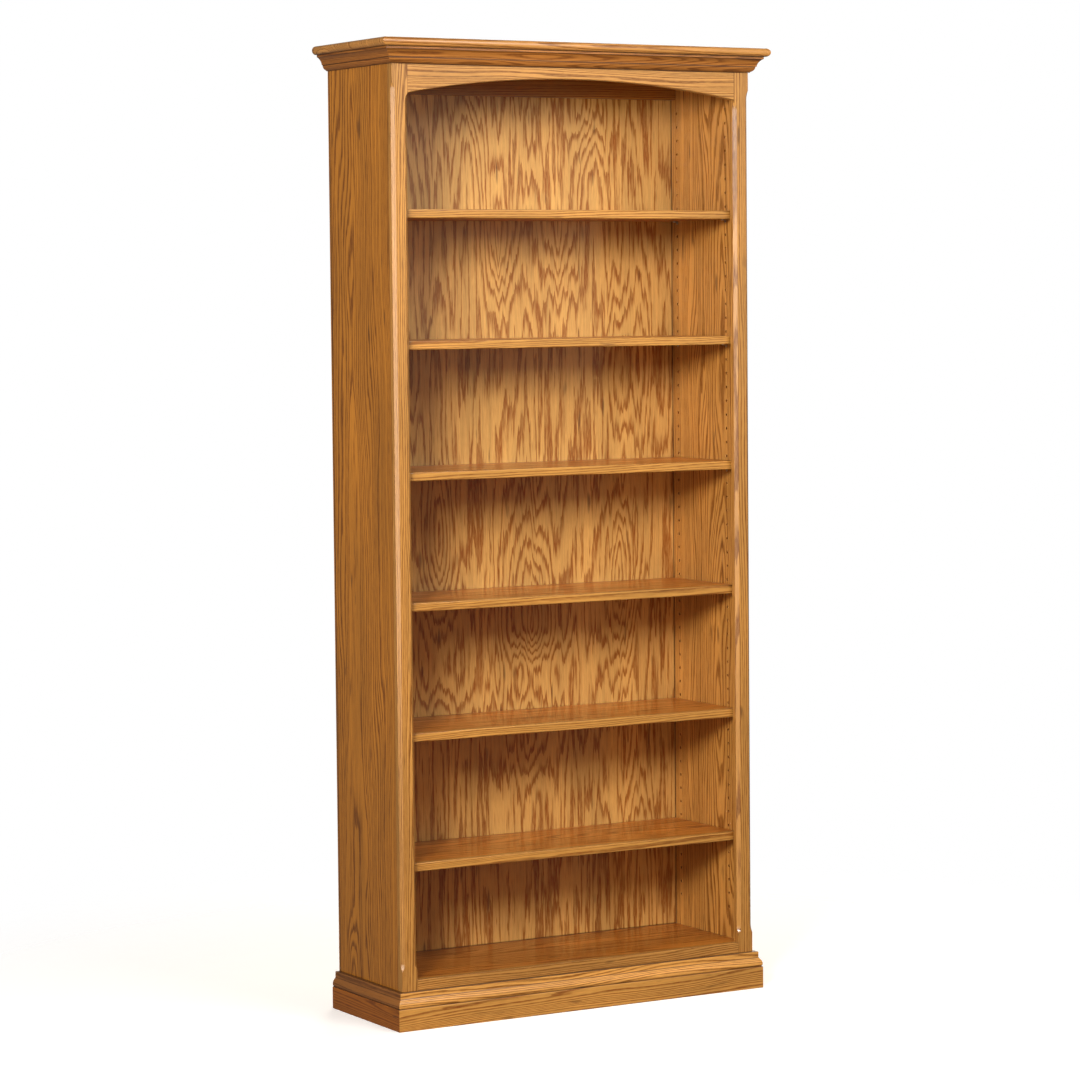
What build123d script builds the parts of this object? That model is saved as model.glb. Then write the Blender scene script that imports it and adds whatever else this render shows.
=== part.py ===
from build123d import *
import os

# Oak bookcase: a face-frame case on a moulded base, with six shelves on pins.
# Millimetres, Z up. The origin is on the floor, in the middle of the whole
# bookcase, and the open front faces -Y. Shelf 1 is the lowest.

# ---- case ----
case_width = 914.4              # over the two side panels
case_depth = 304.8              # back of the case to the front of the face frame
case_height = 2136.8            # floor to the underside of the top board
side_thickness = 19.05          # oak plywood
panel_thickness = 19.05         # fixed top panel and floor panel, oak plywood
floor_height = 108.0            # top of the floor panel
housing_depth = 6.35            # how far the fixed panels are let into the sides
back_thickness = 6.35           # back panel, oak plywood
back_rabbet = 9.5               # how far the back panel laps each side panel
back_gap = 0.8                  # play round the back panel's edges
back_ground_gap = 12.0          # back panel's lower edge above the floor
cleat_height = 63.5             # hanging cleat behind the arch
cleat_thickness = 19.05

# ---- face frame ----
frame_thickness = 19.05
stile_width = 38.1
arch_rail_height = 97.0         # at the ends of the arch
arch_rise = 37.2
bottom_rail_height = 83.0
chamfer_size = 7.0              # stopped chamfers on the stiles' front edges
chamfer_pilot_radius = 22.0     # pilot of the chamfer bit, which sets the run-outs
outer_chamfer_top_gap = 94.0    # top of the full chamfer below the case's top
chamfer_foot = 147.0            # lower end of the full chamfer above the floor
inner_chamfer_gap = 1.2         # run-out of the inner chamfer below the arch rail
edge_ease = 1.5                 # small round or bevel on the frame's and base's edges

# ---- top board ----
top_thickness = 19.05           # solid oak
top_overhang = 38.1             # past the front and both sides
bullnose_share = 0.98           # rounding against half the board's thickness

# ---- mouldings ----
crown_height = 35.0
crown_projection = 26.4
base_board_height = 50.0
base_board_thickness = 17.8
base_board_ease = 2.6
base_cap_height = 34.0
base_cap_projection = 17.3

# ---- shelves and their pins ----
shelf_count = 6
shelf_thickness = 19.05         # oak plywood
shelf_edge_width = 19.05        # solid oak strip on the front edge
shelf_edge_ease = 2.4
shelf_end_gap = 1.6             # play between a shelf's end and the side panel
shelf_front_gap = 5.6           # shelf's front edge behind the face frame
shelf_back_gap = 2.0
hole_pitch = 31.75
hole_diameter = 6.35
hole_depth = 10.5
front_hole_setback = 67.3       # from the front of the face frame
back_hole_setback = 30.5        # from the back of the case
lowest_hole_above_floor = 72.575 # above the floor panel
top_hole_gap = 94.0             # least distance from the top hole to the fixed top
holes_below_shelves = 5
holes_above_shelves = 8
pin_fit = 0.06                  # radial play of a pin in its hole
pin_shank_length = 9.5
pin_collar_radius = 4.3
pin_collar_thickness = 1.0
pin_tongue_length = 11.5        # from the side panel's face
pin_tongue_width = 8.0
pin_tongue_thickness = 3.0

# ---- hidden joinery ----
dowel_diameter = 9.5
dowel_length = 50.0
dowel_inset = 22.0              # from a rail's edge to the nearer dowel
dowel_end_gap = 0.5
hardware_fit = 0.05             # radial play of dowels and screws in their holes
block_width = 30.0              # glue blocks under the floor panel
block_height = 70.0
top_screw_diameter = 4.2
top_screw_length = 31.0
top_screw_count = 4             # in each of two rows
top_screw_inset = 60.0
back_screw_diameter = 3.5
back_screw_length = 19.0
back_screw_rows = 8             # up each side
back_screw_inset = 60.0
screw_head_ratio = 1.9          # head diameter against the shank's
reach = 2.0                     # how far a cutter runs past a face

# ---- places worked out from the sizes ----
half_width = case_width / 2
inner_half = half_width - side_thickness
opening_half = half_width - stile_width
whole_depth = case_depth + top_overhang
y_front = top_overhang - whole_depth / 2
y_frame_back = y_front + frame_thickness
y_back = y_front + case_depth
y_back_panel = y_back - back_thickness
z_floor_under = floor_height - panel_thickness
z_ceiling = case_height - panel_thickness
z_spring = case_height - arch_rail_height
z_apex = z_spring + arch_rise
z_rail_foot = floor_height - bottom_rail_height
z_cap_top = base_board_height + base_cap_height
hole_radius = hole_diameter / 2
pin_radius = hole_radius - pin_fit
pin_seat = hole_radius                   # tongue's top, just clear of the shank below it
hole_rows = (y_front + front_hole_setback, y_back - back_hole_setback)
z_lowest_hole = floor_height + lowest_hole_above_floor
hole_count = int((z_ceiling - top_hole_gap - z_lowest_hole) / hole_pitch) + 1
spare_holes = holes_below_shelves + holes_above_shelves
holes_per_step = (hole_count - 1 - spare_holes) // (shelf_count - 1)
shelf_half = inner_half - shelf_end_gap
y_shelf_front = y_frame_back + shelf_front_gap
y_shelf_back = y_back_panel - shelf_back_gap

SIDES = (("left", -1), ("right", 1))


def block(xs, ys, zs):
    """A box between two values along each axis, given in either order"""
    low = [min(pair) for pair in (xs, ys, zs)]
    high = [max(pair) for pair in (xs, ys, zs)]
    sizes = [b - a for a, b in zip(low, high)]
    middle = [(a + b) / 2 for a, b in zip(low, high)]
    return Pos(*middle) * Box(*sizes)


def rod_along_x(radius, x_from, x_to, y, z):
    """A cylinder that lies along X"""
    rod = Rot(Y=90) * Cylinder(radius, abs(x_to - x_from))
    return Pos((x_from + x_to) / 2, y, z) * rod


def spread(low, high, count):
    """Evenly spaced values from low to high"""
    return [low + (high - low) * k / (count - 1) for k in range(count)]


def shelf_hole_height(number):
    """Height of the pin holes that carry a shelf"""
    step = holes_below_shelves + (number - 1) * holes_per_step
    return z_lowest_hole + step * hole_pitch


def shelf_underside(number):
    return shelf_hole_height(number) + pin_seat


# ---- screws and dowels, with the holes that take them ----

def screw_shape(diameter, length, play):
    """A countersunk screw along +Z with its head's face at Z = 0, or its hole with play"""
    radius = diameter / 2 + play
    head_radius = diameter * screw_head_ratio / 2 + play
    head_height = head_radius - radius
    head = Pos(0, 0, head_height / 2) * Cone(head_radius, radius, head_height)
    shank_length = length + play - head_height
    shank = Pos(0, 0, head_height + shank_length / 2) * Cylinder(radius, shank_length)
    return head + shank


def top_screws(play=0):
    """Screws up through the fixed top panel into the top board"""
    screw = screw_shape(top_screw_diameter, top_screw_length, play)
    span = inner_half - top_screw_inset
    rows = (y_frame_back + top_screw_inset, y_back_panel - top_screw_inset)
    xs = spread(-span, span, top_screw_count)
    return [Pos(x, y, z_ceiling) * screw for x in xs for y in rows]


def back_screws(play=0):
    """Screws through the back panel into the sides, fixed panels and cleat"""
    screw = Rot(X=90) * screw_shape(back_screw_diameter, back_screw_length, play)
    x_edge = inner_half + back_rabbet / 2
    z_low = floor_height + back_screw_inset
    z_high = z_ceiling - cleat_height - back_screw_inset
    places = [(side * x_edge, z) for _, side in SIDES
              for z in spread(z_low, z_high, back_screw_rows)]
    rail_heights = (z_floor_under + panel_thickness / 2,
                    z_ceiling - cleat_height / 2,
                    z_ceiling + panel_thickness / 2)
    span = inner_half - back_screw_inset
    places += [(x, z) for x in spread(-span, span, 3) for z in rail_heights]
    return [Pos(x, y_back, z) * screw for x, z in places]


def frame_dowels(play=0):
    """Dowels across the four joints of the face frame"""
    heights = (z_rail_foot + dowel_inset, floor_height - dowel_inset,
               z_spring + dowel_inset, case_height - dowel_inset)
    y = y_front + frame_thickness / 2
    half = dowel_length / 2 + (dowel_end_gap if play else 0)
    return [rod_along_x(dowel_diameter / 2 + play, side * opening_half - half,
                        side * opening_half + half, y, z)
            for _, side in SIDES for z in heights]


# ---- case ----

def side_panel(side):
    """Side panel with its housings, back rabbet and two rows of pin holes"""
    inner = side * inner_half
    panel = block((inner, side * half_width), (y_frame_back, y_back), (0, case_height))
    housed = side * (inner_half + housing_depth)
    lapped = side * (inner_half + back_rabbet)
    inside = inner - side * reach
    panel -= block((inside, housed), (y_frame_back - reach, y_back_panel),
                   (z_floor_under, floor_height))
    panel -= block((inside, housed), (y_frame_back - reach, y_back_panel),
                   (z_ceiling, case_height + reach))
    panel -= block((inside, lapped), (y_back_panel, y_back + reach),
                   (-reach, case_height + reach))
    holes = [rod_along_x(hole_radius, inside, inner + side * hole_depth, y,
                         z_lowest_hole + step * hole_pitch)
             for y in hole_rows for step in range(hole_count)]
    return panel - holes - back_screws(hardware_fit)


def fixed_panel(z_low, z_high):
    """A plywood panel let into both sides, from the face frame to the back panel"""
    half = inner_half + housing_depth
    return block((-half, half), (y_frame_back, y_back_panel), (z_low, z_high))


def back_panel():
    half = inner_half + back_rabbet - back_gap
    return block((-half, half), (y_back_panel, y_back),
                 (back_ground_gap, case_height - back_gap))


def hanging_cleat():
    return block((-inner_half, inner_half), (y_back_panel - cleat_thickness, y_back_panel),
                 (z_ceiling - cleat_height, z_ceiling))


def glue_blocks():
    """Four blocks in the corners under the floor panel"""
    x_far = inner_half - block_width
    fronts = (y_frame_back, y_frame_back + block_width)
    backs = (y_back_panel - block_width, y_back_panel)
    heights = (z_floor_under - block_height, z_floor_under)
    return [block((side * x_far, side * inner_half), ys, heights)
            for _, side in SIDES for ys in (fronts, backs)]


# ---- face frame ----

def chamfer_cut(edge_x, outward, z_low, z_high):
    """A 45 degree bit run up a stile's front edge: a wedge with a cone at each stop"""
    size = chamfer_size
    wedge_outline = Polyline(
        (edge_x - outward * (size + reach), y_front - reach),
        (edge_x + outward * reach, y_front - reach),
        (edge_x + outward * reach, y_front + size + reach),
        close=True,
    )
    wedge = Pos(0, 0, z_low) * extrude(make_face(wedge_outline), z_high - z_low)
    bit = Rot(X=90) * Cone(chamfer_pilot_radius, chamfer_pilot_radius + size + reach, size + reach)
    axis_x = edge_x + outward * chamfer_pilot_radius
    y_bit = y_front + (size - reach) / 2
    return [wedge] + [Pos(axis_x, y_bit, z) * bit for z in (z_low, z_high)]


def chamfer_run_out():
    """How far the chamfer bit's cone reaches past its stop, along the stile"""
    cone_radius = chamfer_pilot_radius + chamfer_size
    return (cone_radius**2 - chamfer_pilot_radius**2) ** 0.5


def stile(side):
    outer_x = side * half_width
    inner_x = side * opening_half
    post = block((outer_x, inner_x), (y_front, y_frame_back), (0, case_height))
    outer_top = case_height - outer_chamfer_top_gap
    inner_top = z_spring - inner_chamfer_gap - chamfer_run_out()
    post -= chamfer_cut(outer_x, side, chamfer_foot, outer_top)
    post -= chamfer_cut(inner_x, -side, chamfer_foot, inner_top)
    return post - frame_dowels(hardware_fit)


def arched_rail():
    """Top rail whose lower edge is one arc, with a small bevel along its front"""
    outline = Polyline((-opening_half, z_spring), (-opening_half, case_height),
                       (opening_half, case_height), (opening_half, z_spring))
    arc = ThreePointArc((opening_half, z_spring), (0, z_apex), (-opening_half, z_spring))
    face = Plane(origin=(0, y_frame_back, 0), x_dir=(1, 0, 0), z_dir=(0, -1, 0)) * make_face(
        outline + arc)
    rail = extrude(face, frame_thickness)
    front_arc = rail.edges().filter_by(GeomType.CIRCLE).sort_by(Axis.Y)[0]
    return chamfer(front_arc, edge_ease) - frame_dowels(hardware_fit)


def bottom_rail():
    rail = block((-opening_half, opening_half), (y_front, y_frame_back),
                 (z_rail_foot, floor_height))
    top_front = rail.edges().filter_by(Axis.X).group_by(Axis.Z)[-1].sort_by(Axis.Y)[0]
    return fillet(top_front, edge_ease) - frame_dowels(hardware_fit)


# ---- mouldings: each outline has X out from the case and Y up ----

def crown_outline():
    """Fillet, cove, quirk and bead, as shares of the moulding's projection and height"""
    def at(out, down):
        return (out * crown_projection, case_height - down * crown_height)

    lines = Polyline(at(0, 1), at(0, 0), at(1, 0), at(1, 0.14), at(0.955, 0.15))
    lines += ThreePointArc(at(0.955, 0.15), at(0.70, 0.32), at(0.55, 0.62))
    lines += Polyline(at(0.55, 0.62), at(0.47, 0.63), at(0.47, 0.67))
    lines += ThreePointArc(at(0.47, 0.67), at(0.37, 0.84), at(0.15, 0.955))
    lines += Polyline(at(0.15, 0.955), at(0.12, 1), at(0, 1))
    return make_face(lines)


def base_cap_outline():
    """Flat band over a small cove that swells to a bead, in shares as the crown's"""
    def at(out, up):
        return (out * base_cap_projection, base_board_height + up * base_cap_height)

    lines = Polyline(at(0, 0), at(0, 1), at(0.50, 1))
    lines += ThreePointArc(at(0.50, 1), at(0.56, 0.983), at(0.58, 0.95))
    lines += Line(at(0.58, 0.95), at(0.58, 0.62))
    lines += ThreePointArc(at(0.58, 0.62), at(0.63, 0.57), at(0.73, 0.50))
    lines += ThreePointArc(at(0.73, 0.50), at(0.95, 0.32), at(1, 0.19))
    lines += ThreePointArc(at(1, 0.19), at(0.97, 0.09), at(0.88, 0.02))
    lines += Polyline(at(0.88, 0.02), at(0.88, 0), at(0, 0))
    return make_face(lines)


def base_board_outline():
    board = Rectangle(base_board_thickness, base_board_height, align=(Align.MIN, Align.MIN))
    outer = board.vertices().group_by(Axis.X)[-1].sort_by(Axis.Y)
    board = fillet(outer[1], base_board_ease)
    outer = board.vertices().group_by(Axis.Y)[0].sort_by(Axis.X)
    return fillet(outer[1], edge_ease)


def moulding_run(outline, projection, run):
    """One length of a moulding on the front, left or right, mitred at the front corners"""
    corner_out = half_width + projection
    y_out = y_front - projection
    if run == "front":
        start = Plane(origin=(corner_out, y_front, 0), x_dir=(0, -1, 0), z_dir=(-1, 0, 0))
        length = 2 * corner_out
        plan = [(-half_width, y_front), (half_width, y_front),
                (corner_out, y_out), (-corner_out, y_out)]
    else:
        side = dict(SIDES)[run]
        y_start = y_out if side < 0 else y_back
        start = Plane(origin=(side * half_width, y_start, 0), x_dir=(side, 0, 0),
                      z_dir=(0, -side, 0))
        length = y_back - y_out
        plan = [(side * half_width, y_front), (side * corner_out, y_out),
                (side * corner_out, y_back), (side * half_width, y_back)]
    stick = extrude(start * outline, length)
    mitre = extrude(make_face(Polyline(*plan, close=True)), case_height + reach)
    return stick & mitre


# ---- top board ----

def top_board():
    """Solid board with a bullnose on its front and ends, flush at the back"""
    half = half_width + top_overhang
    board = block((-half, half), (y_front - top_overhang, y_back),
                  (case_height, case_height + top_thickness))
    nosed = board.edges().filter_by(Axis.Y)
    nosed += board.edges().filter_by(Axis.X).group_by(Axis.Y)[0]
    return fillet(nosed, bullnose_share * top_thickness / 2) - top_screws(hardware_fit)


# ---- shelves and pins ----

def shelf_panel(number):
    z = shelf_underside(number)
    return block((-shelf_half, shelf_half), (y_shelf_front + shelf_edge_width, y_shelf_back),
                 (z, z + shelf_thickness))


def shelf_edge(number):
    """Solid strip glued to the shelf's front, with both front edges rounded"""
    z = shelf_underside(number)
    strip = block((-shelf_half, shelf_half), (y_shelf_front, y_shelf_front + shelf_edge_width),
                  (z, z + shelf_thickness))
    return fillet(strip.edges().filter_by(Axis.X).group_by(Axis.Y)[0], shelf_edge_ease)


def shelf_pin(side, y, z):
    """Spoon pin: a round shank in the hole and a flat tongue under the shelf.
    The tongue's top is no lower than the shank, so the pin pulls out under its shelf."""
    wall = side * inner_half
    shank = rod_along_x(pin_radius, wall, wall + side * pin_shank_length, y, z)
    collar = rod_along_x(pin_collar_radius, wall, wall - side * pin_collar_thickness, y, z)
    collar -= block((wall + side, wall - side * (pin_collar_thickness + reach)),
                    (y - 2 * pin_collar_radius, y + 2 * pin_collar_radius),
                    (z + pin_seat, z + 2 * pin_collar_radius))
    tongue = block((wall, wall - side * pin_tongue_length),
                   (y - pin_tongue_width / 2, y + pin_tongue_width / 2),
                   (z + pin_seat - pin_tongue_thickness, z + pin_seat))
    tip = tongue.edges().filter_by(Axis.Z).sort_by(Axis.X)
    tip = tip[:2] if side > 0 else tip[-2:]
    return shank + collar + fillet(tip, pin_tongue_width * 0.3)


def shelf_pins(side, number):
    return [shelf_pin(side, y, shelf_hole_height(number)) for y in hole_rows]


# ---- every node and its solids ----
nodes = {
    "fixed_top_panel": fixed_panel(z_ceiling, case_height)
    - top_screws(hardware_fit) - back_screws(hardware_fit),
    "floor_panel": fixed_panel(z_floor_under, floor_height) - back_screws(hardware_fit),
    "back_panel": back_panel() - back_screws(hardware_fit),
    "hanging_cleat": hanging_cleat() - back_screws(hardware_fit),
    "arched_top_rail": arched_rail(),
    "bottom_rail": bottom_rail(),
    "top_board": top_board(),
    "base_glue_blocks": Compound(glue_blocks()),
    "face_frame_dowels": Compound(frame_dowels()),
    "top_board_screws": Compound(top_screws()),
    "back_panel_screws": Compound(back_screws()),
}
for side_name, side_sign in SIDES:
    nodes[f"{side_name}_side_panel"] = side_panel(side_sign)
    nodes[f"{side_name}_stile"] = stile(side_sign)
for run_name in ("front", "left", "right"):
    nodes[f"crown_{run_name}"] = moulding_run(crown_outline(), crown_projection, run_name)
    nodes[f"base_cap_{run_name}"] = moulding_run(
        base_cap_outline(), base_cap_projection, run_name)
    nodes[f"base_board_{run_name}"] = moulding_run(
        base_board_outline(), base_board_thickness, run_name)
for shelf_number in range(1, shelf_count + 1):
    nodes[f"shelf_{shelf_number}"] = shelf_panel(shelf_number)
    nodes[f"shelf_edge_{shelf_number}"] = shelf_edge(shelf_number)
    for side_name, side_sign in SIDES:
        pins = shelf_pins(side_sign, shelf_number)
        nodes[f"shelf_pins_{side_name}_{shelf_number}"] = Compound(pins)

os.makedirs("parts", exist_ok=True)
for name, shape in nodes.items():
    export_step(shape, f"parts/{name}.step")
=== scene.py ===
import math

import bmesh
import bpy
from mathutils import Euler, Matrix, Vector


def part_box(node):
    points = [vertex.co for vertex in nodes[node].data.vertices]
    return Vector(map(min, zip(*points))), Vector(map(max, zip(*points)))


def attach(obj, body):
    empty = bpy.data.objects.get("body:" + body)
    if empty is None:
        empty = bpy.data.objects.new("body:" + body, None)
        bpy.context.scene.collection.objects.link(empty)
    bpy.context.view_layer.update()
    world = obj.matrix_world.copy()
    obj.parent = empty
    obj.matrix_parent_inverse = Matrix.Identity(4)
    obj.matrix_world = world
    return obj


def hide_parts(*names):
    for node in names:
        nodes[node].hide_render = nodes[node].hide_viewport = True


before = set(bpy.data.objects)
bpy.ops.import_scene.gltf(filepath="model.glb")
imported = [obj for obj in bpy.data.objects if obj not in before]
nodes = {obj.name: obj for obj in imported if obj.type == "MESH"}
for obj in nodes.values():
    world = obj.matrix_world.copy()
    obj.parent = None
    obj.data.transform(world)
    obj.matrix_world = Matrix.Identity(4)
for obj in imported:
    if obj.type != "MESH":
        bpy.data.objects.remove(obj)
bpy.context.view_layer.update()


# ---- side panels ----
# Two upright panels of 19 mm oak plywood, stained golden and lacquered satin. Their inner faces
# are bored with two rows of shelf-pin holes; the fixed panels sit in housings cut across them.

def linear(colour):
    """An sRGB hex colour as linear RGBA"""
    parts = [int(colour[i:i + 2], 16) / 255 for i in (1, 3, 5)]
    return [p / 12.92 if p <= 0.04045 else ((p + 0.055) / 1.055) ** 2.4 for p in parts] + [1.0]


def add(tree, kind, inputs=None, **settings):
    """Adds a node with its settings, and gives its inputs a value or another node's output"""
    node = tree.nodes.new(kind)
    for name, value in settings.items():
        setattr(node, name, value)
    for key, value in (inputs or {}).items():
        if isinstance(value, bpy.types.Node):
            value = value.outputs[0]
        if isinstance(value, bpy.types.NodeSocket):
            tree.links.new(value, node.inputs[key])
        else:
            node.inputs[key].default_value = value
    return node


def grain_noise(tree, place, across, along, detail=1.0, roughness=0.5):
    """Noise drawn out along a board's length, with so many swells to the metre across the grain
    and along it"""
    stretched = add(tree, "ShaderNodeVectorMath", {0: place, 1: (across, across, along)},
                    operation="MULTIPLY")
    return add(tree, "ShaderNodeTexNoise", {"Vector": stretched, "Scale": 1.0, "Detail": detail,
                                            "Roughness": roughness})


# How stained oak looks from its growth rings: each ring starts with a band of open early-wood
# pores, which hold the stain and show brown, and ends in dense pale late wood.
oak_figure = bpy.data.node_groups.new("stained_oak_figure", "ShaderNodeTree")
for name, kind in (("Board", "Vector"), ("Rings", "Float"), ("Late wood", "Color"),
                   ("Early wood", "Color")):
    oak_figure.interface.new_socket(name, in_out="INPUT", socket_type=f"NodeSocket{kind}")
for name, kind in (("Colour", "Color"), ("Roughness", "Float"), ("Height", "Float")):
    oak_figure.interface.new_socket(name, in_out="OUTPUT", socket_type=f"NodeSocket{kind}")
board = add(oak_figure, "NodeGroupInput")
phase = add(oak_figure, "ShaderNodeMath", {0: board.outputs["Rings"]}, operation="FRACT")
early = add(oak_figure, "ShaderNodeValToRGB", {"Fac": phase})
# how much stain a ring holds, from its start to its end
stain_in_ring = ((0.0, 0.08), (0.06, 0.85), (0.24, 1.0), (0.36, 0.62), (0.48, 0.18),
                 (0.63, 0.02), (1.0, 0.08))
stops = early.color_ramp.elements
while len(stops) < len(stain_in_ring):
    stops.new(0.5)
for stop, (part_of_ring, level) in zip(stops, stain_in_ring):
    stop.position = part_of_ring
    stop.color = (level, level, level, 1)
# vessels cut along their length: real ones are 0.3 mm wide, drawn 1.8 mm wide so that they show
pore_noise = grain_noise(oak_figure, board.outputs["Board"], 560, 38)
pores = add(oak_figure, "ShaderNodeMapRange",
            {"Value": pore_noise, "From Min": 0.42, "From Max": 0.62, "To Max": 1.0})
# streaks of stain some 4 mm wide and 120 mm long make the bands ragged
streaks = grain_noise(oak_figure, board.outputs["Board"], 260, 8, detail=2.0)
ragged = add(oak_figure, "ShaderNodeMapRange",
             {"Value": streaks, "From Min": 0.3, "From Max": 0.7, "To Min": 0.66, "To Max": 1.12})
band = add(oak_figure, "ShaderNodeMath", {0: early, 1: ragged}, operation="MULTIPLY")
pore_share = add(oak_figure, "ShaderNodeMath", {0: pores, 1: 0.3, 2: 0.76},
                 operation="MULTIPLY_ADD")
grained = add(oak_figure, "ShaderNodeMath", {0: band, 1: pore_share}, operation="MULTIPLY")
stain = add(oak_figure, "ShaderNodeMath", {0: pores, 1: 0.13, 2: grained},
            operation="MULTIPLY_ADD")
# the vessels at their real width, which show from close up
vessel_noise = grain_noise(oak_figure, board.outputs["Board"], 2400, 110, detail=0.0)
vessels = add(oak_figure, "ShaderNodeMapRange",
              {"Value": vessel_noise, "From Min": 0.5, "From Max": 0.64, "To Max": 1.0})
vessel_share = add(oak_figure, "ShaderNodeMath", {0: early, 1: 0.14, 2: 0.07},
                   operation="MULTIPLY_ADD")
stain = add(oak_figure, "ShaderNodeMath", {0: vessels, 1: vessel_share, 2: stain},
            operation="MULTIPLY_ADD")
wood = add(oak_figure, "ShaderNodeMix",
           {0: stain, 6: board.outputs["Late wood"], 7: board.outputs["Early wood"]},
           data_type="RGBA")
# a few dark mineral streaks, some 10 mm wide and 80 mm long
mineral_noise = grain_noise(oak_figure, board.outputs["Board"], 75, 11)
mineral = add(oak_figure, "ShaderNodeMapRange",
              {"Value": mineral_noise, "From Min": 0.7, "From Max": 0.8, "To Max": 1.1})
mineral_share = add(oak_figure, "ShaderNodeMath", {0: mineral, 1: 0.6}, operation="MULTIPLY")
wood = add(oak_figure, "ShaderNodeMix", {0: mineral_share, 6: wood.outputs[2],
                                         7: linear("#4a2812")}, data_type="RGBA")
# slow change of tone over a hand's breadth, and a finer one along the streaks
clouds = grain_noise(oak_figure, board.outputs["Board"], 11, 2.2)
tone = add(oak_figure, "ShaderNodeMapRange",
           {"Value": clouds, "From Min": 0.25, "From Max": 0.75, "To Min": 0.84, "To Max": 1.16})
streak_tone = add(oak_figure, "ShaderNodeMapRange", {
    "Value": streaks, "From Min": 0.25, "From Max": 0.75, "To Min": 0.87, "To Max": 1.13})
light = add(oak_figure, "ShaderNodeMath", {0: tone, 1: streak_tone}, operation="MULTIPLY")
toned = add(oak_figure, "ShaderNodeHueSaturation", {"Value": light, "Color": wood.outputs[2]})
# the stained pores lie a little lower and duller than the late wood
gloss = add(oak_figure, "ShaderNodeMapRange", {"Value": stain, "To Min": 0.36, "To Max": 0.52})
relief = add(oak_figure, "ShaderNodeMath", {0: stain, 1: -1.0}, operation="MULTIPLY")
add(oak_figure, "NodeGroupOutput", {"Colour": toned, "Roughness": gloss, "Height": relief})

log_step = 3.7              # length of the tree between one board's stretch and the next


def board_turn(axes):
    """The turn that brings a board's width, thickness and length, such as "yxz", to X, Y and Z"""
    rows = [Vector([float(axis == a) for a in "xyz"]) for axis in axes]
    if Matrix(rows).determinant() < 0:
        rows[1].negate()
    return Matrix(rows)


def board_space(tree, node, axes, seed):
    """Object coordinates turned and centred on a board, with its length along Z; seed picks
    another stretch of the same tree"""
    low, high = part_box(node)
    turn = board_turn(axes)
    shift = Vector((0, 0, seed * log_step)) - turn @ ((low + high) / 2)
    where = add(tree, "ShaderNodeTexCoord")
    return add(tree, "ShaderNodeMapping", {"Vector": where.outputs["Object"], "Location": shift,
                                           "Rotation": turn.to_euler("XYZ")})


def empty_material(name):
    """A material with no nodes yet"""
    made = bpy.data.materials.new(name)
    made.use_nodes = True
    made.node_tree.nodes.clear()
    return made


def finish_node(node, material):
    """Puts a material on every slot of a CAD node"""
    slots = nodes[node].data.materials
    for i in range(len(slots)):
        slots[i] = material
    if not slots:
        slots.append(material)


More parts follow.
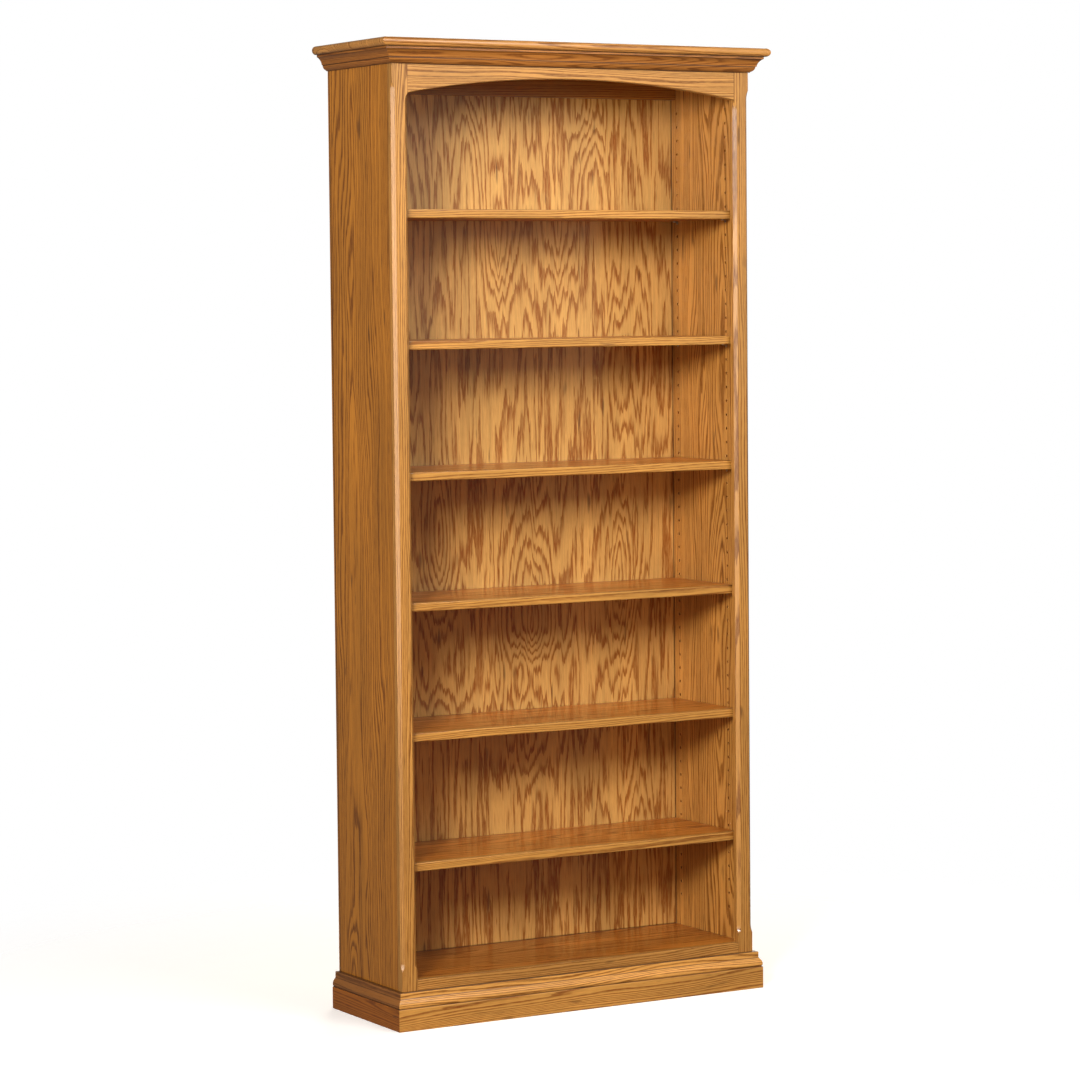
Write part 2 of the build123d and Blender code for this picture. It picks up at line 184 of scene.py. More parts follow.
def stain_and_lacquer(tree, place, rings, late, early, seams=(), plies=None, raw_back=None,
                      raw=False):
    """Wipes stain into the wood whose growth rings are counted, and coats it with satin lacquer.
    Seams are the lines across an axis along which painted shade lies dark in the colour, each an
    axis, a place and a half width in metres. Plies are the thickness axis of a plywood panel and
    the thickness itself, and show on its edges. The raw back is a rear face left without stain;
    raw wood has no finish at all."""
    where = add(tree, "ShaderNodeTexCoord")
    late_wood, early_wood = linear(late), linear(early)
    if raw_back:
        facing = add(tree, "ShaderNodeSeparateXYZ", {0: where.outputs["Normal"]})
        bare = add(tree, "ShaderNodeMath", {0: facing.outputs["Y"], 1: 0.5},
                   operation="GREATER_THAN")
        late_wood = add(tree, "ShaderNodeMix", {0: bare, 6: late_wood, 7: linear(raw_back[0])},
                        data_type="RGBA").outputs[2]
        early_wood = add(tree, "ShaderNodeMix", {0: bare, 6: early_wood, 7: linear(raw_back[1])},
                         data_type="RGBA").outputs[2]
    look = add(tree, "ShaderNodeGroup", {
        "Board": place, "Rings": rings, "Late wood": late_wood, "Early wood": early_wood},
        node_tree=oak_figure)
    colour, roughness = look.outputs["Colour"], look.outputs["Roughness"]
    if plies:
        # crossed plies: every other one shows its dark end grain
        axis, thickness = plies
        ply_count = 7
        facing = add(tree, "ShaderNodeSeparateXYZ", {0: where.outputs["Normal"]})
        flat = add(tree, "ShaderNodeMath", {0: facing.outputs[axis.upper()]},
                   operation="ABSOLUTE")
        edge = add(tree, "ShaderNodeMath", {0: flat, 1: 0.5}, operation="LESS_THAN")
        depth = add(tree, "ShaderNodeSeparateXYZ", {0: place})
        layer = add(tree, "ShaderNodeMath",
                    {0: depth.outputs["Y"], 1: ply_count / 2 / thickness, 2: 0.25},
                    operation="MULTIPLY_ADD")
        layer = add(tree, "ShaderNodeMath", {0: layer}, operation="FRACT")
        layer = add(tree, "ShaderNodeMath", {0: layer, 1: 0.5}, operation="LESS_THAN")
        ply = add(tree, "ShaderNodeMix", {0: layer, 6: linear("#7a4a20"), 7: linear("#c08a4c")},
                  data_type="RGBA")
        colour = add(tree, "ShaderNodeMix", {0: edge, 6: colour, 7: ply.outputs[2]},
                     data_type="RGBA").outputs[2]
    if seams:
        # painted shade: the colour is darkened along each seam, where joints and creases fall into
        # shade
        spot = add(tree, "ShaderNodeSeparateXYZ", {0: where.outputs["Object"]})
        painted_crease_shade = None
        for axis, at, half_width in seams:
            away = add(tree, "ShaderNodeMath", {0: spot.outputs[axis.upper()], 1: at},
                       operation="SUBTRACT")
            away = add(tree, "ShaderNodeMath", {0: away}, operation="ABSOLUTE")
            line = add(tree, "ShaderNodeMapRange", {"Value": away, "From Max": half_width,
                                                    "To Min": 1.0, "To Max": 0.0},
                       interpolation_type="SMOOTHSTEP")
            painted_crease_shade = line if painted_crease_shade is None else add(tree, "ShaderNodeMath", {0: painted_crease_shade, 1: line},
                                                 operation="MAXIMUM")
        painted_crease_shade = add(tree, "ShaderNodeMath", {0: painted_crease_shade, 1: 0.82}, operation="MULTIPLY")
        if raw_back:
            # the raw rear face takes none of the painted shade
            finished_face = add(tree, "ShaderNodeMath", {0: 1.0, 1: bare}, operation="SUBTRACT")
            painted_crease_shade = add(tree, "ShaderNodeMath", {0: painted_crease_shade, 1: finished_face}, operation="MULTIPLY")
        # the dark brown of the painted shade
        colour = add(tree, "ShaderNodeMix", {0: painted_crease_shade, 6: colour, 7: linear("#3a1c08")},
                     data_type="RGBA").outputs[2]
    bump = add(tree, "ShaderNodeBump", {"Height": look.outputs["Height"], "Strength": 0.3,
                                        "Distance": 0.00025})
    # satin lacquer gives the wood a soft sheen over its own dull one; raw wood stays dull
    skin = add(tree, "ShaderNodeBsdfPrincipled", {
        "Base Color": colour, "Roughness": roughness, "Normal": bump,
        "IOR": 1.5, "Specular IOR Level": 0.15 if raw else 0.35})
    if not raw:
        skin.inputs["Coat Weight"].default_value = 0.5
        skin.inputs["Coat Roughness"].default_value = 0.17
    add(tree, "ShaderNodeOutputMaterial", {"Surface": skin})


def veneer(name, node, axes, seed, late, early, rings=14, creases=10, hills=(), gradient=0.0,
           ragged_edge=0.9, **finish):
    """Sliced oak veneer on plywood: its rings are the level lines of a slow field that is drawn
    out along the grain, with teeth along their edges. Hills give the eyes and flames of one
    sheet, each a place across and along it, a half width, half lengths down and up, and a
    height in rings."""
    made = empty_material(name)
    tree = made.node_tree
    place = board_space(tree, node, axes, seed)
    slow = grain_noise(tree, place, 8.0, 0.85, detail=0.5)
    crease = grain_noise(tree, place, 13.0, 1.2, detail=0.0)
    crease = add(tree, "ShaderNodeMath", {0: crease, 1: 0.5}, operation="SUBTRACT")
    crease = add(tree, "ShaderNodeMath", {0: crease}, operation="ABSOLUTE")
    teeth = grain_noise(tree, place, 88, 4.6, detail=3.0, roughness=0.6)
    count = add(tree, "ShaderNodeMath", {0: slow, 1: float(rings)}, operation="MULTIPLY")
    count = add(tree, "ShaderNodeMath", {0: crease, 1: float(creases), 2: count},
                operation="MULTIPLY_ADD")
    count = add(tree, "ShaderNodeMath", {0: teeth, 1: ragged_edge * 2, 2: count},
                operation="MULTIPLY_ADD")
    across = add(tree, "ShaderNodeSeparateXYZ", {0: place})
    if gradient:
        count = add(tree, "ShaderNodeMath", {0: across.outputs[0], 1: gradient, 2: count},
                    operation="MULTIPLY_ADD")
    centre = sum(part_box(node), Vector()) / 2
    turn = board_turn(axes)
    for x, z, half_width, down, up, height in hills:
        spot = turn @ (Vector((x, 0, z)) - Vector((centre.x, 0, centre.z)))
        side = add(tree, "ShaderNodeMath", {0: across.outputs[0], 1: spot.x}, operation="SUBTRACT")
        side = add(tree, "ShaderNodeMath", {0: side, 1: half_width}, operation="DIVIDE")
        rise = add(tree, "ShaderNodeMath", {0: across.outputs[2], 1: spot.z + seed * log_step},
                   operation="SUBTRACT")
        upper = add(tree, "ShaderNodeMath", {0: rise, 1: up}, operation="DIVIDE")
        lower = add(tree, "ShaderNodeMath", {0: rise, 1: -down}, operation="DIVIDE")
        length = add(tree, "ShaderNodeMath", {0: upper, 1: lower}, operation="MAXIMUM")
        near = add(tree, "ShaderNodeMath", {0: side}, operation="ABSOLUTE")
        near = add(tree, "ShaderNodeMath", {0: length, 1: length, 2: near},
                   operation="MULTIPLY_ADD")
        bell = add(tree, "ShaderNodeMath", {0: near, 1: -1.0}, operation="MULTIPLY")
        bell = add(tree, "ShaderNodeMath", {0: bell}, operation="EXPONENT")
        count = add(tree, "ShaderNodeMath", {0: bell, 1: float(height), 2: count},
                    operation="MULTIPLY_ADD")
    stain_and_lacquer(tree, place, count, late, early, **finish)
    return made


def solid_oak(name, node, axes, seed, late, early, pith=(0.09, -0.06), ring_mm=3.8,
              taper=0.012, wander_mm=16.0, **finish):
    """A board sawn from a log: its rings are circles round a pith that lies beside the board,
    taper up the log and wander along it. Pith is measured in metres across and through the
    board from its middle."""
    made = empty_material(name)
    tree = made.node_tree
    place = board_space(tree, node, axes, seed)
    from_pith = add(tree, "ShaderNodeVectorMath", {0: place, 1: (pith[0], pith[1], 0)},
                    operation="SUBTRACT")
    flat = add(tree, "ShaderNodeVectorMath", {0: from_pith, 1: (1, 1, 0)}, operation="MULTIPLY")
    radius = add(tree, "ShaderNodeVectorMath", {0: flat}, operation="LENGTH")
    along = add(tree, "ShaderNodeSeparateXYZ", {0: place})
    bend = grain_noise(tree, place, 9, 1.7)
    teeth = grain_noise(tree, place, 120, 9)
    out = add(tree, "ShaderNodeMath", {0: along.outputs[2], 1: taper, 2: radius.outputs["Value"]},
              operation="MULTIPLY_ADD")
    out = add(tree, "ShaderNodeMath", {0: bend, 1: wander_mm / 1000, 2: out},
              operation="MULTIPLY_ADD")
    count = add(tree, "ShaderNodeMath", {0: out, 1: ring_mm / 1000}, operation="DIVIDE")
    # good and bad years make rings wide and narrow
    years = add(tree, "ShaderNodeTexNoise", {"W": out, "Scale": 45.0, "Detail": 1.0},
                noise_dimensions="1D")
    count = add(tree, "ShaderNodeMath", {0: years, 1: 4.0, 2: count}, operation="MULTIPLY_ADD")
    count = add(tree, "ShaderNodeMath", {0: teeth, 1: 0.7, 2: count}, operation="MULTIPLY_ADD")
    stain_and_lacquer(tree, place, count, late, early, **finish)
    return made


# painted shade lies dark where a side meets the face frame, the back panel and the cap round the
# foot
side_low, side_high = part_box("left_side_panel")
plywood = side_high.x - side_low.x
frame_back = side_low.y
back_panel_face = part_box("back_panel")[0].y
cap_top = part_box("base_cap_front")[1].z
side_seams = (("y", frame_back, 0.0012), ("y", back_panel_face, 0.004), ("z", cap_top, 0.0015))
finish_node("left_side_panel", solid_oak(
    "stained_oak_veneer_left_side", "left_side_panel", "yxz", 1, "#b97725", "#6f3c09",
    pith=(0.05, -0.10), ring_mm=5.2, wander_mm=60, plies=("x", plywood), seams=side_seams))
finish_node("right_side_panel", solid_oak(
    "stained_oak_veneer_right_side", "right_side_panel", "yxz", 2, "#c58d44", "#7c4811",
    pith=(-0.07, 0.09), ring_mm=5.0, wander_mm=70, plies=("x", plywood), seams=side_seams))


# ---- fixed top panel and floor panel ----
# 19 mm oak plywood let into housings in the sides, glued, with their grain across the case.
# Four raw pine blocks are glued in the corners under the floor panel.
inner_half = -side_high.x   # from the case's middle to a side panel's inner face
for node, seed in (("fixed_top_panel", 3), ("floor_panel", 4)):
    finish_node(node, veneer(
        f"stained_oak_veneer_{node}", node, "yzx", seed, "#bc7122", "#7a3e08", rings=9,
        gradient=60, plies=("z", plywood),
        # painted shade in the corners against the back panel and the sides
        seams=(("y", back_panel_face, 0.004), ("x", -inner_half, 0.003),
               ("x", inner_half, 0.003))))
finish_node("base_glue_blocks", solid_oak(
    "raw_pine_blocks", "base_glue_blocks", "xyz", 5, "#c9a269", "#ad7f41", ring_mm=6.0,
    raw=True))


# ---- back panel and hanging cleat ----
# One sheet of 6 mm oak plywood in the sides' rabbets, screwed all round, its rear left raw. Its
# rotary-cut veneer runs upright with bold flames round one eye. A solid cleat under the fixed
# top takes screws into the wall.
floor_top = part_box("floor_panel")[1].z
# each flame's place across and up, half width, half lengths down and up, and height in rings
back_flames = (
    (0.048, 0.845, 0.060, 0.085, 0.230, 7.5),
    (-0.190, 1.030, 0.048, 0.140, 0.180, 4.0),
    (0.285, 0.960, 0.052, 0.150, 0.190, 4.5),
    (-0.031, 1.740, 0.046, 0.160, 0.200, -4.5),
    (0.128, 1.760, 0.048, 0.170, 0.180, -4.5),
    (0.209, 2.050, 0.055, 0.120, 0.200, -5.0),
    (0.050, 2.000, 0.072, 0.190, 0.200, -6.0),
    (-0.098, 2.120, 0.050, 0.140, 0.200, -4.5),
    (0.040, 0.600, 0.080, 0.120, 0.110, 4.0),
    (0.290, 0.560, 0.060, 0.200, 0.200, -4.0),
    (-0.190, 0.760, 0.060, 0.110, 0.200, -4.0),
    (0.300, 1.420, 0.060, 0.160, 0.190, 4.5),
    (-0.300, 1.400, 0.060, 0.150, 0.170, 4.5),
    (-0.330, 1.850, 0.050, 0.200, 0.150, 3.5),
)
finish_node("back_panel", veneer(
    "stained_oak_veneer_back", "back_panel", "xyz", 6, "#cb9d57", "#884d14", rings=7, creases=7,
    hills=back_flames, ragged_edge=1.15, raw_back=("#eac197", "#c8945f"),
    # painted shade in the corners against the sides and the floor panel
    seams=(("x", -inner_half, 0.004), ("x", inner_half, 0.004), ("z", floor_top, 0.003))))
finish_node("hanging_cleat", solid_oak(
    "stained_oak_hanging_cleat", "hanging_cleat", "zyx", 7, "#a9702d", "#744212"))


def turned(name, rings, sides=16):
    """A closed shape turned about Z from rings, each a height and a radius or, for a shaped
    recess, one radius for each of its sides; a radius of 0 is the tip"""
    verts, faces, loops = [], [], []
    for height, radius in rings:
        if radius == 0:
            loops.append([len(verts)] * sides)
            verts.append((0, 0, height))
            continue
        radii = radius if isinstance(radius, (list, tuple)) else [radius] * sides
        loops.append(list(range(len(verts), len(verts) + sides)))
        verts += [(r * math.cos(k * math.tau / sides), r * math.sin(k * math.tau / sides), height)
                  for k, r in enumerate(radii)]
    for a, b in zip(loops, loops[1:]):
        for k in range(sides):
            ring = [a[k], a[(k + 1) % sides], b[(k + 1) % sides], b[k]]
            faces.append([v for i, v in enumerate(ring) if v not in ring[:i]])
    made = bpy.data.meshes.new(name)
    made.from_pydata(verts, [], faces)
    tidy = bmesh.new()
    tidy.from_mesh(made)
    bmesh.ops.recalc_face_normals(tidy, faces=tidy.faces)
    tidy.to_mesh(made)
    tidy.free()
    return made


def wood_screw(name, radius, length):
    """A countersunk wood screw with its head's face at the origin and its point up Z: cross
    recess, cone, and a thread that winds up the shank"""
    sides = 16
    head = 1.9 * radius
    cone = head - radius
    cross = [(0.62, 0.30, 0.20, 0.30)[k % 4] * head for k in range(sides)]
    rings = [(cone * 1.5, 0), (cone * 1.1, [0.55 * r for r in cross]), (cone * 0.06, cross),
             (0.0, 0.72 * head), (0.0, 0.95 * head), (cone * 0.08, head),
             (cone * 0.2, 0.98 * head), (cone, radius * 0.94), (cone + radius, radius * 0.9)]
    pitch = 1.5 * radius
    steps_per_turn = 6
    root, steepness = 0.72, 3.2
    start, stop = cone + 2.2 * radius, length - 2.5 * radius
    count = int((stop - start) / pitch * steps_per_turn)
    for i in range(count + 1):
        height = start + (stop - start) * i / count
        turn = (height - start) / pitch
        ridge = [max(0.0, 1 - steepness * abs((turn - k / sides) % 1 - 0.5))
                 for k in range(sides)]
        rings.append((height, [radius * (root + (1 - root) * r) for r in ridge]))
    rings += [(length - radius, radius * 0.4), (length, 0)]
    return turned(name, rings, sides)


# Sets fasteners on their marks: one at each point, turned the way it is driven and spun by chance
set_on_marks = bpy.data.node_groups.new("set_fasteners_on_marks", "GeometryNodeTree")
for name, kind in (("Marks", "Geometry"), ("Fastener", "Object"), ("Way in", "Rotation"),
                   ("Most spin", "Float"), ("Seed", "Int"), ("Finish", "Material")):
    set_on_marks.interface.new_socket(name, in_out="INPUT", socket_type=f"NodeSocket{kind}")
set_on_marks.interface.new_socket("Fasteners", in_out="OUTPUT",
                                  socket_type="NodeSocketGeometry")
given = add(set_on_marks, "NodeGroupInput")
marks = add(set_on_marks, "GeometryNodeMeshToPoints", {"Mesh": given.outputs["Marks"]})
part = add(set_on_marks, "GeometryNodeObjectInfo", {"Object": given.outputs["Fastener"]})
placed = add(set_on_marks, "GeometryNodeInstanceOnPoints", {
    "Points": marks, "Instance": part.outputs["Geometry"], "Rotation": given.outputs["Way in"]})
chance = add(set_on_marks, "FunctionNodeRandomValue", data_type="FLOAT")
set_on_marks.links.new(given.outputs["Most spin"], chance.inputs[3])
set_on_marks.links.new(given.outputs["Seed"], chance.inputs["Seed"])
spin = add(set_on_marks, "ShaderNodeCombineXYZ", {"Z": chance.outputs[1]})
spun = add(set_on_marks, "GeometryNodeRotateInstances", {
    "Instances": placed, "Rotation": spin, "Local Space": True})
real = add(set_on_marks, "GeometryNodeRealizeInstances", {"Geometry": spun})
finished = add(set_on_marks, "GeometryNodeSetMaterial", {
    "Geometry": real, "Material": given.outputs["Finish"]})
add(set_on_marks, "NodeGroupOutput", {"Fasteners": finished})


def set_fasteners(name, mesh, marks, way_in, most_spin, seed, finish):
    """One mesh of fasteners, each set at its mark"""
    points = bpy.data.meshes.new(name + "_marks")
    points.from_pydata(marks, [], [])
    base = bpy.data.objects.new(name + "_marks", points)
    model = bpy.data.objects.new(name + "_model", mesh)
    for made in (base, model):
        bpy.context.scene.collection.objects.link(made)
    setting = base.modifiers.new("set_on_marks", "NODES")
    setting.node_group = set_on_marks
    sockets = {item.name: item.identifier for item in set_on_marks.interface.items_tree}
    for label, value in (("Fastener", model), ("Way in", way_in), ("Most spin", most_spin),
                         ("Seed", seed), ("Finish", finish)):
        setting[sockets[label]] = value
    whole = bpy.data.meshes.new_from_object(
        base.evaluated_get(bpy.context.evaluated_depsgraph_get()))
    base.modifiers.remove(setting)
    for made in (base, model):
        bpy.data.objects.remove(made)
    whole.name = name
    piece = bpy.data.objects.new(name, whole)
    bpy.context.scene.collection.objects.link(piece)
    return piece


# Zinc plate on steel: pale grey metal with a faint cloudy tarnish, duller where it is darker
zinc = empty_material("zinc_plated_steel")
tree = zinc.node_tree
where = add(tree, "ShaderNodeTexCoord")
tarnish = add(tree, "ShaderNodeTexNoise", {"Vector": where.outputs["Object"], "Scale": 900.0,
                                           "Detail": 2.0})
grey = add(tree, "ShaderNodeMix", {0: tarnish, 6: linear("#8f8f8a"), 7: linear("#cfcdc5")},
           data_type="RGBA")
dull = add(tree, "ShaderNodeMapRange", {"Value": tarnish, "To Min": 0.5, "To Max": 0.25})
skin = add(tree, "ShaderNodeBsdfPrincipled", {"Base Color": grey.outputs[2], "Metallic": 1.0,
                                              "Roughness": dull})
add(tree, "ShaderNodeOutputMaterial", {"Surface": skin})

# The back panel's screws go into the sides' rabbets, the rear edges of the floor panel and the
# fixed top panel, and the cleat
case_back = side_high.y
case_height = side_high.z
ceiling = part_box("fixed_top_panel")[0].z
cleat_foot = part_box("hanging_cleat")[0].z
rabbet = 0.0095             # how far the back panel laps each side panel
screw_inset = 0.060         # end screws from a panel's end or a corner
screws_up_side = 8
ladder_foot, ladder_head = floor_top + screw_inset, cleat_foot - screw_inset
step = (ladder_head - ladder_foot) / (screws_up_side - 1)
back_marks = [(side * (inner_half + rabbet / 2), case_back, ladder_foot + step * k)
              for side in (-1, 1) for k in range(screws_up_side)]
outer_screw = inner_half - screw_inset
back_marks += [(x, case_back, z) for x in (-outer_screw, 0.0, outer_screw)
               for z in (floor_top - plywood / 2, (cleat_foot + ceiling) / 2,
                         case_height - plywood / 2)]
most_spin = 1.57            # a quarter turn brings a cross recess round
back_screws = set_fasteners("back_panel_wood_screws", wood_screw("wood_screw_19", 0.00175, 0.019),
                            back_marks, Euler((math.pi / 2, 0, 0)), most_spin, 3, zinc)
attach(back_screws, "case")
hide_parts("back_panel_screws")


# ---- face frame ----
# Solid oak stiles and rails, 38 mm stiles with stopped chamfers on their front edges, an arched
# top rail and a deep bottom rail between them, doweled and glued and fixed to the case's front.
opening_half = -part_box("left_stile")[1].x
crown_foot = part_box("crown_front")[0].z
# painted shade lines where the stiles meet the cap and where the rails' ends meet the stiles
stile_seams = (("z", cap_top, 0.0015),)
rail_ends = (("x", -opening_half, 0.0012), ("x", opening_half, 0.0012))
for node, axes, seed, pith, ring_mm, seams in (
        ("left_stile", "xyz", 8, (0.02, -0.035), 3.4, stile_seams),
        ("right_stile", "xyz", 9, (-0.06, -0.06), 3.9, stile_seams),
        ("arched_top_rail", "zyx", 10, (-0.10, -0.07), 3.6,
         rail_ends + (("z", crown_foot, 0.0025),)),
        ("bottom_rail", "zyx", 11, (0.09, -0.07), 3.8,
         rail_ends + (("z", cap_top, 0.0025),))):
    finish_node(node, solid_oak(f"stained_oak_{node}", node, axes, seed, "#be8843", "#774711",
                                pith=pith, ring_mm=ring_mm, wander_mm=26, seams=seams))
finish_node("face_frame_dowels", solid_oak(
    "raw_beech_dowels", "face_frame_dowels", "yzx", 12, "#c49f6c", "#a87f4c", ring_mm=3.0,
    raw=True))


# ---- top board ----
# A solid oak board with a bullnose on its front and ends, screwed from below through the fixed
# top panel.
finish_node("top_board", solid_oak(
    "stained_oak_top_board", "top_board", "yzx", 13, "#c58b48", "#7f4b12", pith=(0.12, -0.09),
    # painted shade line under the top board's edge
    ring_mm=4.4, seams=(("z", case_height, 0.002),)))
top_marks = [(x, y, ceiling)
             for x in (-outer_screw, -outer_screw / 3, outer_screw / 3, outer_screw)
             for y in (frame_back + screw_inset, back_panel_face - screw_inset)]
top_screws = set_fasteners("top_board_wood_screws", wood_screw("wood_screw_31", 0.0021, 0.031),
                           top_marks, Euler((0, 0, 0)), most_spin, 5, zinc)
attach(top_screws, "case")
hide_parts("top_board_screws")


# ---- crown, base cap and base board ----
# Solid oak mouldings run with shaped cutters, mitred at the corners, glued and pinned round the
# front and both sides; the cap sits on top of the base board. Painted shade lies dark in their
# quirks.
board_top = 0.0502          # the line between the board and the cap
# heights of each moulding's quirks, where painted shade lies, with half their widths
quirks = {
    "crown": (("z", case_height, 0.0014), ("z", 2.1317, 0.0012), ("z", 2.1143, 0.0022),
              ("z", 2.1022, 0.0020)),
    "base_cap": (("z", board_top, 0.0018), ("z", 0.0702, 0.0014), ("z", cap_top, 0.0012)),
    "base_board": (("z", board_top, 0.0016),),
}
# late and early wood of the front and right lengths, then of the left one, whose darker copy is
# painted shade on that side; the cap's pale front late wood is partly a painted highlight on its
# swelling
moulding_stain_and_painted_light = {
    "crown": (("#a96c2d", "#6d3b0b"), ("#a66725", "#6a380c")),
    "base_cap": (("#e1a453", "#865218"), ("#975f27", "#66380e")),
    "base_board": (("#ce9649", "#854c16"), ("#a25c10", "#703807")),
}
cuts = {"crown": dict(pith=(0.05, -0.06), ring_mm=2.9, wander_mm=26),
        "base_cap": dict(pith=(0.03, -0.05), ring_mm=3.4, wander_mm=30),
        "base_board": dict(pith=(0.02, -0.035), ring_mm=3.6, wander_mm=32)}
for run, axes in (("front", "zyx"), ("left", "zxy"), ("right", "zxy")):
    for k, (moulding, lit_and_shaded_stains) in enumerate(moulding_stain_and_painted_light.items()):
        # the left lengths take the darker copy, which is painted shade
        late, dark = lit_and_shaded_stains[1 if run == "left" else 0]
        node = f"{moulding}_{run}"
        finish_node(node, solid_oak(
            f"stained_oak_{node}", node, axes, 14 + 3 * k + len(run), late, dark,
            seams=quirks[moulding], **cuts[moulding]))


# ---- adjustable shelves ----
# Each is a 19 mm oak plywood panel with its grain along its length and a solid oak strip glued
# to its front edge, both front corners rounded.
shelf_count = 6
strip_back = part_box("shelf_edge_1")[1].y
for number in range(1, shelf_count + 1):
    finish_node(f"shelf_{number}", veneer(
        f"stained_oak_veneer_shelf_{number}", f"shelf_{number}", "yzx", 30 + number, "#cb7921",
        "#7d3f08", rings=9, gradient=60, plies=("z", plywood)))
    finish_node(f"shelf_edge_{number}", solid_oak(
        f"stained_oak_shelf_edge_{number}", f"shelf_edge_{number}", "zyx", 40 + number,
        # painted shade line where the strip meets the panel
        "#c79045", "#855015", pith=(0.05, -0.05), seams=(("y", strip_back, 0.0008),)))


# ---- shelf pins ----
# Spoon pins pressed from steel rod and zinc plated: a round shank that slips into a hole in the
# side, a thin collar against the panel, and a tongue under the shelf that thins to its tip.
shank = 0.003115            # radius, a slip fit in the 6.35 mm holes
shank_length = 0.0095
collar = 0.0043             # radius
seat = 0.00312              # the tongue's flat top above the shank's middle
tongue_length = 0.0115
tongue_width = 0.008
tongue_thickness = 0.003
tip_round = 0.0026
tip_steps = 16
edge_round = 0.0004
# heights and radii from the collar's outer face to the shank's end, with a groove near the collar
pin_mesh = turned("spoon_pin", (
    (0.0010, 0), (0.0010, collar - 0.0005), (0.0007, collar), (0.0003, collar),
    (0.0, collar - 0.0003), (0.0, shank), (-0.0012, shank), (-0.0015, shank * 0.94),
    (-0.0030, shank * 0.94), (-0.0033, shank), (-shank_length + 0.0012, shank),
    (-shank_length + 0.0003, shank * 0.86), (-shank_length, shank * 0.6), (-shank_length, 0)),
    sides=24)
shaping = bmesh.new()
shaping.from_mesh(pin_mesh)
bmesh.ops.rotate(shaping, verts=shaping.verts, matrix=Matrix.Rotation(math.pi / 2, 3, "Y"))
for vert in shaping.verts:
    vert.co.z = min(vert.co.z, seat)

half, straight = tongue_width / 2, tongue_length - tip_round
turns = [step * math.pi / tip_steps for step in range(1, tip_steps)]
outline = [(edge_round, -half), (straight, -half)]
outline += [(straight + tip_round * math.sin(a), -half * math.cos(a)) for a in turns]
outline += [(straight, half), (edge_round, half)]
layers = []
# from the top face down: share of the thickness, a further drop, and how far the edge is drawn in
for share, drop, inset in ((0.0, 0.0, edge_round), (0.0, edge_round, 0.0), (0.8, 0.0, 0.0),
                           (1.0, 0.0, edge_round)):
    layer = []
    for x, y in outline:
        thickness = tongue_thickness * (1 - 0.45 * (x / tongue_length) ** 2)
        drawn_in = inset if x > 0.001 else 0.0
        layer.append(shaping.verts.new((
            x - drawn_in, y * (1 - inset / half), seat - drop - share * thickness)))
    layers.append(layer)
tongue_faces = [shaping.faces.new(layers[0]), shaping.faces.new(layers[-1][::-1])]
for upper, lower in zip(layers, layers[1:]):
    for k in range(len(outline)):
        nxt = (k + 1) % len(outline)
        tongue_faces.append(shaping.faces.new((upper[k], lower[k], lower[nxt], upper[nxt])))
bmesh.ops.recalc_face_normals(shaping, faces=tongue_faces)
shaping.to_mesh(pin_mesh)
shaping.free()

hole_radius = 0.003175      # a shelf lies this far above the middle of its holes
front_hole_setback = 0.0673
back_hole_setback = 0.0305
frame_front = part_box("left_stile")[0].y
hole_rows = (frame_front + front_hole_setback, case_back - back_hole_setback)
for number in range(1, shelf_count + 1):
    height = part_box(f"shelf_{number}")[0].z - hole_radius
    for side, wall, way_in in (("left", -inner_half, 0.0), ("right", inner_half, math.pi)):
        pins = set_fasteners(
            f"spoon_pins_{side}_{number}", pin_mesh, [(wall, y, height) for y in hole_rows],
            Euler((0, 0, way_in)), 0.0, number, zinc)
        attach(pins, f"{side}_pins_{number}")
        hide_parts(f"shelf_pins_{side}_{number}")


# ---- studio ----
# A pale floor that fades into a white surround, a soft key light high on the left of the
# front with a narrow one beside it, one overhead, a warm bounce low down, and fills from the
# right and behind.
floor_mesh = bpy.data.meshes.new("studio_floor")
floor_reach = 7.0
floor_mesh.from_pydata([(x * floor_reach, y * floor_reach, 0) for x, y in
                        ((-1, -1), (1, -1), (1, 1), (-1, 1))], [], [(0, 1, 2, 3)])
floor = bpy.data.objects.new("studio_floor", floor_mesh)
bpy.context.scene.collection.objects.link(floor)
pale_floor = empty_material("pale_studio_floor")
tree = pale_floor.node_tree
where = add(tree, "ShaderNodeTexCoord")
far = add(tree, "ShaderNodeVectorMath", {0: where.outputs["Object"]}, operation="LENGTH")
fade = add(tree, "ShaderNodeMapRange", {"Value": far.outputs["Value"], "From Min": 0.5,
                                        "From Max": 2.0}, interpolation_type="SMOOTHSTEP")
paint = add(tree, "ShaderNodeBsdfDiffuse", {"Color": linear("#f4f4f2")})
glow = add(tree, "ShaderNodeEmission", {"Color": linear("#ffffff"), "Strength": 0.35})
paint = add(tree, "ShaderNodeAddShader", {0: paint, 1: glow})
clear = add(tree, "ShaderNodeBsdfTransparent")
blend = add(tree, "ShaderNodeMixShader", {0: fade.outputs[0], 1: paint, 2: clear})
add(tree, "ShaderNodeOutputMaterial", {"Surface": blend})
floor_mesh.materials.append(pale_floor)
floor.visible_glossy = floor.visible_diffuse = False


def soft_box(name, place, aim, size, power, tall=None, tint="#ffffff", spread=180):
    """A studio light that faces a point, square unless it is taller than wide"""
    lamp = bpy.data.lights.new(name, "AREA")
    lamp.shape, lamp.size, lamp.size_y, lamp.energy = "RECTANGLE", size, tall or size, power
    lamp.color, lamp.spread = linear(tint)[:3], math.radians(spread)
    made = bpy.data.objects.new(name, lamp)
    made.location = place
    made.rotation_euler = (Vector(aim) - Vector(place)).to_track_quat("-Z", "Y").to_euler()
    bpy.context.scene.collection.objects.link(made)


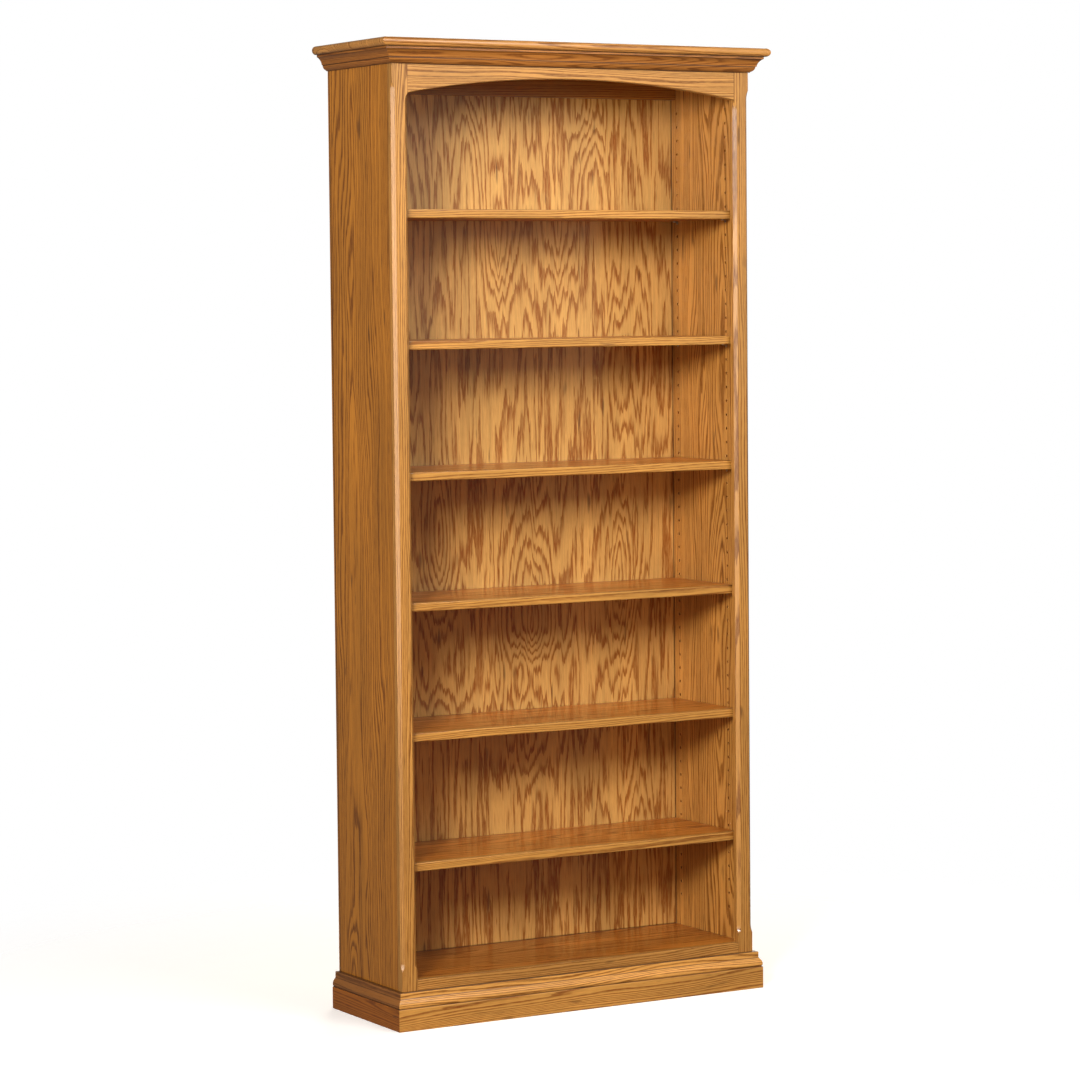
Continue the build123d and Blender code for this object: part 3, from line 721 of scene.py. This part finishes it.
soft_box("key_light", (-3.8, -3.9, 2.75), (0, 0, 1.6), 1.2, 76, tint="#fffcf8", spread=90)
soft_box("warm_bounce", (-1.6, -3.4, 0.5), (0, 0, 0.35), 1.4, 4, tint="#ffa855", spread=100)
soft_box("edge_light", (-4.33, -2.5, 1.5), (0, 0, 1.2), 0.5, 48, 2.4, "#fff8ec")
soft_box("overhead_light", (0.9, -3.1, 3.5), (0, 0, 1.4), 1.8, 75)
soft_box("fill_light", (2.5, -4.2, 2.4), (0, 0, 1.6), 2.4, 24, tint="#ffe2b8")
soft_box("side_light", (4.6, -0.8, 2.3), (0, 0, 1.2), 1.6, 45, tint="#fff4e2")
soft_box("back_light", (2.4, 3.4, 2.6), (0, 0, 1.0), 2.0, 105, tint="#fff6ea")

# The camera sees pure white round the object, which is lit by it only faintly.
surround = bpy.data.worlds.new("white_surround")
bpy.context.scene.world = surround
surround.use_nodes = True
tree = surround.node_tree
tree.nodes.clear()
ray = add(tree, "ShaderNodeLightPath")
ambient = add(tree, "ShaderNodeBackground", {"Color": linear("#fff4e6"), "Strength": 0.15})
white = add(tree, "ShaderNodeBackground", {"Color": linear("#ffffff"), "Strength": 1.0})
seen = add(tree, "ShaderNodeMixShader", {0: ray.outputs["Is Camera Ray"], 1: ambient, 2: white})
add(tree, "ShaderNodeOutputWorld", {"Surface": seen})

# The camera stands 8 m off, to the left of the front, at eye height, and looks a little down.
camera_place = (-4.0566, -6.9825, 1.5986)
azimuth, tilt, roll = (math.radians(a) for a in (30.0153, 3.8928, -0.5272))
ahead = Vector((math.sin(azimuth) * math.cos(tilt), math.cos(azimuth) * math.cos(tilt),
                -math.sin(tilt)))
level = Vector((math.cos(azimuth), -math.sin(azimuth), 0))
upright = level.cross(ahead)
camera = bpy.data.objects.new("camera", bpy.data.cameras.new("camera"))
camera.data.lens, camera.data.sensor_width = 119.2515, 36.0
camera.data.clip_end = 60.0
turn = Matrix((math.cos(roll) * level + math.sin(roll) * upright,
               -math.sin(roll) * level + math.cos(roll) * upright, -ahead)).transposed()
camera.matrix_world = Matrix.Translation(camera_place) @ turn.to_4x4()
bpy.context.scene.collection.objects.link(camera)
bpy.context.scene.camera = camera
bpy.context.scene.view_settings.view_transform = "Standard"
